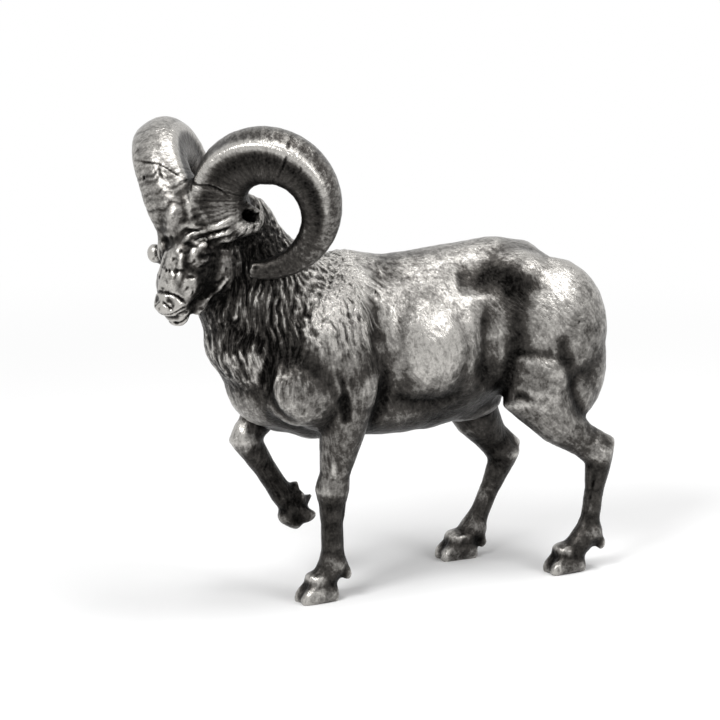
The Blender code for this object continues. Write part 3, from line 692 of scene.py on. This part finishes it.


# Places where the patina was left dark or rubbed bright, or where shade or highlights are painted in:
# negative darkens and positive brightens, on both sides of the body: x, y, z, radius and strength
RUBBED_AND_PAINTED_LIGHT = (
    (-4, 5, 71, 7, 0.7),
    (-10, 11, 65, 7, 0.7),
    (-17.5, 13, 50, 5, -0.3),
    (8, 10, 64, 7, 0.25),
    (12, 13, 57, 8, 0.3),
    (21, 12, 60, 6, 0.3),
    (26, 7, 72, 6, 0.35),
    (12, 0, 76, 6, -0.4),
    (28, 0, 79, 7, -0.45),
    (44, 0, 76, 8, -0.4),
    (40, 11, 63, 7, 0.3),
    (36, 12, 55, 7, 0.25),
    (-31, 0, 99, 6, 0.1),
    (4, 6, 70, 3.5, -0.45),
    (33, 9.5, 67, 5, -1.1),
    (28, 10, 69, 4, -0.6),
    (32, 11, 60, 5, -0.3),
    (32, 11, 53, 5, -0.45),
    (42, 10, 66, 5, 0.3),
    (-15, 10, 47, 7, -0.35),
    (-1, 11.5, 65, 2.5, 0.6),
    (0.5, 12, 60.5, 2.5, 0.7),
    (2, 12, 55.5, 2.5, 0.6),
    (3, 12, 50, 2.5, 0.4),
    (-35, 7, 81, 4, 0.6),
    (-31, 9, 83, 3, 0.5),
    (-37, 8.4, 77, 3, -0.9),
    (-33, 7, 68, 5, -0.3),
    (-34, 7, 71, 5, -0.4),
    (-38, 8, 72, 4, -0.3),
    (26, 12, 55, 4, 0.35),
    (26, 12, 48, 4, 0.3),
    (16, 10, 38, 8, -0.7),
    (26, 11, 44, 6, -0.4),
    (-2, 10, 40, 8, -0.5),
    (33, 5, 39, 8, -0.5),
    (-27, 5, 58, 9, -0.45),
    (-21, 9, 60, 7, -0.3),
    (-20, 8, 46, 8, -0.2),
    (-22, 8, 76, 6, -0.4),
    (54, 6, 50, 12, -0.2),
    (-9, 10, 27, 3, 0.6),
    (-9.5, 10, 9, 2.5, 0.6),
    (-12, 10, 4, 3, 0.7),
    (51, 13, 26, 3, 0.6),
    (38, 13, 4, 3, 0.7),
    (22, 5, 5, 3, 0.7),
    (46, 8, 25, 3, 0.5),
)


def wear(skin, hidden):
    """How far the patina is worn off, with painted shade where the body shelters the skin and painted light
    where it faces up, on listed spots and along the keels; evenly shared out from 0 in recesses to 1 on
    rubbed high places.
    """
    fine, middle, broad = [hollow_at(skin, rounds) for rounds in HOLLOW_ROUNDS]
    grid = (skin.places - np.array(DATUM)) / MM
    grid[:, 1] = np.abs(grid[:, 1])
    fine *= 0.45 + 0.55 * np.clip(coat_cover(skin.places) + bare_cover(skin.places), 0, 1)
    amount = -FINE_HOLLOWS * fine - MIDDLE_HOLLOWS * middle - BROAD_HOLLOWS * broad
    # Painted shade where the body shelters the skin from outside, and painted light on the skin that faces
    # up
    amount = amount - PAINTED_SHELTER_SHADE * hidden + PAINTED_TOP_LIGHT * skin.normals[:, 2]
    amount *= 1 - 0.4 * horn_cover_of(skin.places)
    amount /= np.percentile(amount, 84) - np.percentile(amount, 16)
    # Listed spots of real wear and oxide, and of painted shade and painted highlights: dark round the eye
    # and in the flank's hollow, bright on the barrel, knees, fetlocks and hooves
    for x, y, z, radius, strength in RUBBED_AND_PAINTED_LIGHT:
        gap = np.linalg.norm(grid - (x, y, z), axis=1)
        amount += strength * np.exp(-((gap / radius) ** 2))
    amount -= LEG_DARKNESS * (1 - smooth_step(22, 40, grid[:, 2]))
    # The raised foreleg: forward on the right side, and low
    right_fore = (grid[:, 0] < -3) & (skin.places[:, 1] > 0)
    amount -= RIGHT_FORELEG_DARKNESS * right_fore * (1 - smooth_step(22, 38, grid[:, 2]))
    # The keels' bright band: partly rubbed wear, partly a painted highlight
    for horn, keels, dull in KEELS:
        cover, share, around = horn.cover(skin.places)
        base, tip, _ = keels[0]
        beside = around - (base + (tip - base) * np.clip(share, 0, 1))
        early = 1 - smooth_step(0.5, 0.7, share)
        plain = dull * (0.5 + 0.5 * smooth_step(0.08, 0.25, share))
        amount += cover * (KEEL_WEAR_AND_PAINTED_HIGHLIGHT * early * np.exp(-((beside / KEEL_WIDTH) ** 2)) - plain)
    # Sharing the values out evenly makes the patina's stops mean shares of the skin
    ranks = np.empty(skin.count)
    ranks[np.argsort(amount)] = np.linspace(0, 1, skin.count)
    return ranks


def store(mesh, name, values):
    """Keeps a value per point on the mesh, for the material."""
    if values.ndim == 1:
        mesh.attributes.new(name, "FLOAT", "POINT").data.foreach_set("value", values)
    else:
        mesh.attributes.new(name, "FLOAT_VECTOR", "POINT").data.foreach_set("vector", values.ravel())


class Nodes:
    """Short ways to build a material's node tree."""

    def __init__(self, tree):
        self.tree = tree

    def add(self, kind, **settings):
        node = self.tree.nodes.new(kind)
        for name, value in settings.items():
            setattr(node, name, value)
        return node

    def link(self, source, socket):
        self.tree.links.new(source, socket)

    def attribute(self, name, output="Fac"):
        node = self.add("ShaderNodeAttribute", attribute_name=name)
        return node.outputs[output]

    def math(self, operation, first, second, clamp=False):
        node = self.add("ShaderNodeMath", operation=operation, use_clamp=clamp)
        for value, socket in zip((first, second), node.inputs):
            if isinstance(value, (int, float)):
                socket.default_value = value
            else:
                self.link(value, socket)
        return node.outputs[0]

    def noise(self, vector, scale, detail, roughness):
        node = self.add("ShaderNodeTexNoise")
        node.inputs["Scale"].default_value = scale
        node.inputs["Detail"].default_value = detail
        node.inputs["Roughness"].default_value = roughness
        self.link(vector, node.inputs["Vector"])
        return node.outputs["Fac"]

    def ramp(self, value, stops):
        node = self.add("ShaderNodeValToRGB")
        elements = node.color_ramp.elements
        while len(elements) < len(stops):
            elements.new(0.5)
        for element, (position, colour) in zip(elements, stops):
            element.position = position
            element.color = (*colour, 1.0)
        self.link(value, node.inputs["Fac"])
        return node.outputs["Color"]

    def bump(self, height, strength, distance, normal=None):
        node = self.add("ShaderNodeBump")
        node.inputs["Strength"].default_value = strength
        node.inputs["Distance"].default_value = distance
        self.link(height, node.inputs["Height"])
        if normal is not None:
            self.link(normal, node.inputs["Normal"])
        return node.outputs["Normal"]

    def swing(self, value, amount):
        """How far a noise is from its middle, times an amount."""
        return self.math("MULTIPLY", self.math("SUBTRACT", value, 0.5), amount)

    def seen(self):
        """1 where the camera sees a thing itself, or its reflection, and 0 for the light that it gives."""
        rays = self.add("ShaderNodeLightPath").outputs
        seen = self.math("MAXIMUM", rays["Is Camera Ray"], rays["Is Glossy Ray"])
        return self.math("MAXIMUM", seen, rays["Is Transmission Ray"])


def patina(settings):
    """Oxidised pewter: black in the recesses, grey on the skin and rubbed bright on the high places, with
    painted shade and painted light carried in the same values.
    """
    material = bpy.data.materials.new("oxidised_pewter")
    material.use_nodes = True
    nodes = Nodes(material.node_tree)
    shader = material.node_tree.nodes["Principled BSDF"]
    shader.inputs["Metallic"].default_value = 1.0
    place = nodes.add("ShaderNodeTexCoord").outputs["Object"]
    strands = nodes.attribute("strands", "Vector")
    coat = nodes.attribute("coat")
    worn_and_painted_light = nodes.attribute("wear")
    # Stains, specks and hairs break up the wear and painted light; the hairs run along the coat and round
    # the horns
    stains = nodes.noise(place, *STAIN_NOISE)
    specks = nodes.noise(place, *SPECK_NOISE)
    hairs = nodes.noise(strands, *HAIR_NOISE)
    worn_and_painted_light = nodes.math("ADD", worn_and_painted_light, nodes.swing(stains, STAINS))
    worn_and_painted_light = nodes.math("ADD", worn_and_painted_light, nodes.swing(specks, SPECKS))
    worn_and_painted_light = nodes.math("ADD", worn_and_painted_light, nodes.math("MULTIPLY", nodes.swing(hairs, coat), HAIRS), clamp=True)
    dark, grey, bright = settings.recess_colour, settings.skin_colour, settings.rubbed_colour
    low = [0.55 * a + 0.45 * b for a, b in zip(dark, grey)]
    between = [0.62 * a + 0.38 * b for a, b in zip(grey, bright)]
    colour = nodes.ramp(worn_and_painted_light, ((0.04, dark), (0.27, low), (0.5, grey), (0.75, between), (0.96, bright)))
    nodes.link(colour, shader.inputs["Base Color"])
    steps = ((0.0, 0.45), (0.4, 0.35), (1.0, settings.rubbed_roughness))
    rough = nodes.ramp(worn_and_painted_light, [(position, (value,) * 3) for position, value in steps])
    nodes.link(rough, shader.inputs["Roughness"])
    # The fine hammered skin of the casting, and the hairs on it
    normal = nodes.bump(nodes.noise(place, *HAMMERED_NOISE), *HAMMERED_BUMP)
    hair_height = nodes.math("MULTIPLY", hairs, coat)
    normal = nodes.bump(hair_height, *HAIR_BUMP, normal)
    nodes.link(normal, shader.inputs["Normal"])
    return material


def finished(obj, material):
    """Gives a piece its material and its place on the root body."""
    obj.data.materials.clear()
    obj.data.materials.append(material)
    obj.data.shade_smooth()
    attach(obj, "root")


class CastingSettings(bpy.types.PropertyGroup):
    """Sizes and colours of the casting."""

    grain: FloatProperty(
        name="Grain",
        description="Size of the cells that the skin is sculpted in",
        default=0.36 * MM,
        min=0.2 * MM,
        subtype="DISTANCE",
        unit="LENGTH",
        precision=5,
    )
    faces: IntProperty(
        name="Triangles",
        description="The most triangles that the finished skin may have",
        default=194000,
    )
    recess_colour: FloatVectorProperty(
        name="Recesses",
        description="Colour of the oxide in the recesses",
        default=(0.003, 0.0028, 0.0026),
        subtype="COLOR",
    )
    skin_colour: FloatVectorProperty(
        name="Skin",
        description="Colour of the metal under a thin oxide",
        default=(0.054, 0.050, 0.046),
        subtype="COLOR",
    )
    rubbed_colour: FloatVectorProperty(
        name="Rubbed metal",
        description="Colour of the metal where it is rubbed bright",
        default=(0.45, 0.435, 0.41),
        subtype="COLOR",
    )
    rubbed_roughness: FloatProperty(
        name="Rubbed roughness",
        description="Roughness of the metal where it is rubbed bright",
        default=0.27,
        subtype="FACTOR",
    )


class StageSettings(bpy.types.PropertyGroup):
    """The floor, the lamps and the camera."""

    floor_radius: FloatProperty(
        name="Floor radius",
        description="Radius of the floor",
        default=3.0,
        subtype="DISTANCE",
        unit="LENGTH",
    )
    floor_colour: FloatVectorProperty(
        name="Floor",
        description="Colour of the floor",
        default=(0.96, 0.96, 0.96),
        subtype="COLOR",
    )
    key_power: FloatProperty(
        name="Key lamp",
        description="Power of the soft lamp ahead of the head",
        default=2.7,
        subtype="POWER",
    )
    top_power: FloatProperty(
        name="Top lamp",
        description="Power of the soft lamp over the back",
        default=1.5,
        subtype="POWER",
    )
    fill_power: FloatProperty(
        name="Fill lamp",
        description="Power of the soft lamp to the right of the camera",
        default=1.35,
        subtype="POWER",
    )
    room_strength: FloatProperty(
        name="Room light",
        description="Strength of the light from all round",
        default=0.42,
        subtype="FACTOR",
    )
    lens: FloatProperty(
        name="Lens",
        description="Focal length of the camera, in millimetres",
        default=147.56,
        subtype="DISTANCE_CAMERA",
    )


class RAM_OT_casting(bpy.types.Operator):
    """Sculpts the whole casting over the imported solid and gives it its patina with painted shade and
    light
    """

    bl_idname = "ram.casting"
    bl_label = "Casting"

    def execute(self, context):
        settings = context.scene.ram_casting
        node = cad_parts[CAD_NODE]
        casting = bpy.data.objects.new("ram_casting", merged_copy(node))
        context.scene.collection.objects.link(casting)
        with_modifier(casting, "REMESH", mode="VOXEL", voxel_size=settings.grain)
        skin = Skin(casting.data)
        skin.relax(RELAXING_ROUNDS)
        soften(skin, SOFTENING_ROUNDS)
        sculpt_horns(skin)
        sculpt_body(skin)
        sculpt_head(skin)
        sculpt_surface(skin)
        casting.data.calc_loop_triangles()
        share = settings.faces / len(casting.data.loop_triangles)
        if share < 1:
            with_modifier(casting, "DECIMATE", ratio=share, use_collapse_triangulate=True)
        skin = Skin(casting.data)
        horn_cover = horn_cover_of(skin.places)
        coat = np.maximum(coat_cover(skin.places) * (1 - horn_cover), LEAST_COAT_GRAIN)
        coat = coat * (1 - 0.8 * bare_cover(skin.places))
        hidden = shelter(node, skin)
        # The wear values carry painted shade and painted light along with the real wear
        store(casting.data, "wear", wear(skin, hidden))
        store(casting.data, "coat", coat)
        store(casting.data, "strands", grain_places(skin.places))
        finished(casting, patina(settings))
        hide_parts(CAD_NODE)
        return {"FINISHED"}


def floor_material(settings):
    """A pale floor that takes the shadow near the casting and fades into the white room round it."""
    material = bpy.data.materials.new("pale_floor")
    material.use_nodes = True
    nodes = Nodes(material.node_tree)
    shader = material.node_tree.nodes["Principled BSDF"]
    shader.inputs["Base Color"].default_value = (*settings.floor_colour, 1.0)
    shader.inputs["Roughness"].default_value = 0.9
    shader.inputs["Specular IOR Level"].default_value = 0.0
    place = nodes.add("ShaderNodeTexCoord").outputs["Object"]
    reach = nodes.add("ShaderNodeVectorMath", operation="LENGTH")
    nodes.link(place, reach.inputs[0])
    fade = nodes.add("ShaderNodeMapRange", interpolation_type="SMOOTHSTEP")
    fade.inputs["From Min"].default_value = FADE_START
    fade.inputs["From Max"].default_value = FADE_END
    nodes.link(reach.outputs["Value"], fade.inputs["Value"])
    share = nodes.math("MULTIPLY", fade.outputs["Result"], nodes.seen())
    glow = nodes.add("ShaderNodeEmission")
    mix = nodes.add("ShaderNodeMixShader")
    nodes.link(share, mix.inputs["Fac"])
    nodes.link(shader.outputs["BSDF"], mix.inputs[1])
    nodes.link(glow.outputs["Emission"], mix.inputs[2])
    nodes.link(mix.outputs["Shader"], material.node_tree.nodes["Material Output"].inputs["Surface"])
    return material


def room(settings):
    """The light from all round, with a white background."""
    world = bpy.data.worlds.new("room")
    world.use_nodes = True
    nodes = Nodes(world.node_tree)
    background = world.node_tree.nodes["Background"]
    background.inputs["Color"].default_value = (1.0, 1.0, 1.0, 1.0)
    seen = nodes.seen()
    strength = nodes.add("ShaderNodeMapRange")
    strength.inputs["To Min"].default_value = settings.room_strength
    strength.inputs["To Max"].default_value = 1.0
    nodes.link(seen, strength.inputs["Value"])
    nodes.link(strength.outputs["Result"], background.inputs["Strength"])
    return world


def lamp(name, place, size, power):
    """A soft square lamp that points at the casting."""
    data = bpy.data.lights.new(name, "AREA")
    data.size = size
    data.energy = power
    obj = bpy.data.objects.new(name, data)
    obj.location = place
    obj.rotation_euler = (Vector(LAMP_TARGET) - Vector(place)).to_track_quat("-Z", "Y").to_euler()
    bpy.context.scene.collection.objects.link(obj)


class RAM_OT_stage(bpy.types.Operator):
    """Makes the pale floor, the soft studio light and the camera at the side of the head"""

    bl_idname = "ram.stage"
    bl_label = "Stage"

    def execute(self, context):
        settings = context.scene.ram_stage
        bm = bmesh.new()
        bmesh.ops.create_circle(bm, cap_ends=True, segments=96, radius=settings.floor_radius)
        mesh = bpy.data.meshes.new("floor")
        bm.to_mesh(mesh)
        bm.free()
        mesh.materials.append(floor_material(settings))
        floor = bpy.data.objects.new("floor", mesh)
        context.scene.collection.objects.link(floor)
        context.scene.world = room(settings)
        for name, (place, size) in LAMPS.items():
            lamp(name, place, size, getattr(settings, f"{name}_power"))
        data = bpy.data.cameras.new("camera")
        data.lens = settings.lens
        data.sensor_width = 36.0
        data.clip_start = 0.01
        data.clip_end = 20.0
        camera = bpy.data.objects.new("camera", data)
        place, aim = on_body(*CAMERA_PLACE), on_body(*CAMERA_AIM)
        camera.location = place
        camera.rotation_euler = (aim - place).to_track_quat("-Z", "Y").to_euler()
        context.scene.collection.objects.link(camera)
        context.scene.camera = camera
        context.scene.view_settings.view_transform = "Standard"
        return {"FINISHED"}


class RAM_PT_panel(bpy.types.Panel):
    """The pieces of the ram and its stage"""

    bl_label = "Ram"
    bl_idname = "RAM_PT_panel"
    bl_space_type = "VIEW_3D"
    bl_region_type = "UI"
    bl_category = "Ram"

    def draw(self, context):
        for operator, group in OPERATORS:
            self.layout.operator(operator)
            for name in getattr(context.scene, group).__annotations__:
                self.layout.prop(getattr(context.scene, group), name)


OPERATORS = (("ram.casting", "ram_casting"), ("ram.stage", "ram_stage"))
CLASSES = (CastingSettings, StageSettings, RAM_OT_casting, RAM_OT_stage, RAM_PT_panel)


def register():
    for made in CLASSES:
        bpy.utils.register_class(made)
    bpy.types.Scene.ram_casting = PointerProperty(type=CastingSettings)
    bpy.types.Scene.ram_stage = PointerProperty(type=StageSettings)


def unregister():
    del bpy.types.Scene.ram_stage
    del bpy.types.Scene.ram_casting
    for made in reversed(CLASSES):
        bpy.utils.unregister_class(made)


def main():
    register()
    bpy.ops.ram.casting()
    bpy.ops.ram.stage()


if __name__ == "__main__":
    main()
